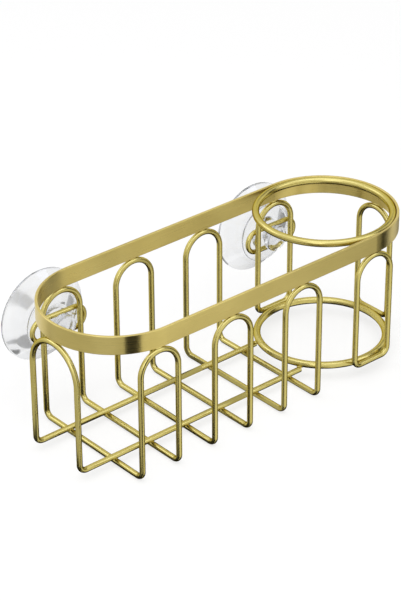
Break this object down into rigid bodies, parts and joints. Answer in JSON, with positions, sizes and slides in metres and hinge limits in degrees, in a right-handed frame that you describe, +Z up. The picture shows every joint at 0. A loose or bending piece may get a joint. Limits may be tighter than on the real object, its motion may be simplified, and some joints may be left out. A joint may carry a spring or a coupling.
{
  "type": "sponge holder",
  "caption": "Gold-coloured wire sponge basket with a flat strip rim and a round ring for a dish brush at one end, hung on a wall by clear suction cups.",
  "frame": {"origin": "middle of the footprint's bounding box, on the level of the lowest wires", "axes": "+X along the length towards the brush ring, +Y towards the wall, +Z up"},
  "size_m": [0.2167, 0.0944, 0.0813],
  "materials": {
    "gold_strip": "steel strip with a brushed gold-coloured coat",
    "gold_wire": "steel wire with a satin gold-coloured coat",
    "clear_vinyl": "clear soft vinyl, glossy"
  },
  "bodies": {
    "holder": {"rim_band": "gold_strip", "upper_ring": "gold_wire", "lower_ring": "gold_wire", "basket_loop_left": "gold_wire", "basket_loop_middle": "gold_wire", "basket_loop_right": "gold_wire", "left_end_arch": "gold_wire", "ring_arch_front": "gold_wire", "ring_arch_right": "gold_wire", "ring_arch_back": "gold_wire", "cup_bracket_left": "gold_wire", "cup_bracket_right": "gold_wire"},
    "left_cup": {"suction_cup_left": "clear_vinyl"},
    "right_cup": {"suction_cup_right": "clear_vinyl"}
  },
  "joints": [
    {"name": "left_cup_slide", "type": "slide", "parent": "holder", "child": "left_cup", "axis": [1, 0, 0], "range_m": [-0.0027, 0.0027]},
    {"name": "right_cup_slide", "type": "slide", "parent": "holder", "child": "right_cup", "axis": [1, 0, 0], "range_m": [-0.0027, 0.0027]}
  ]
}
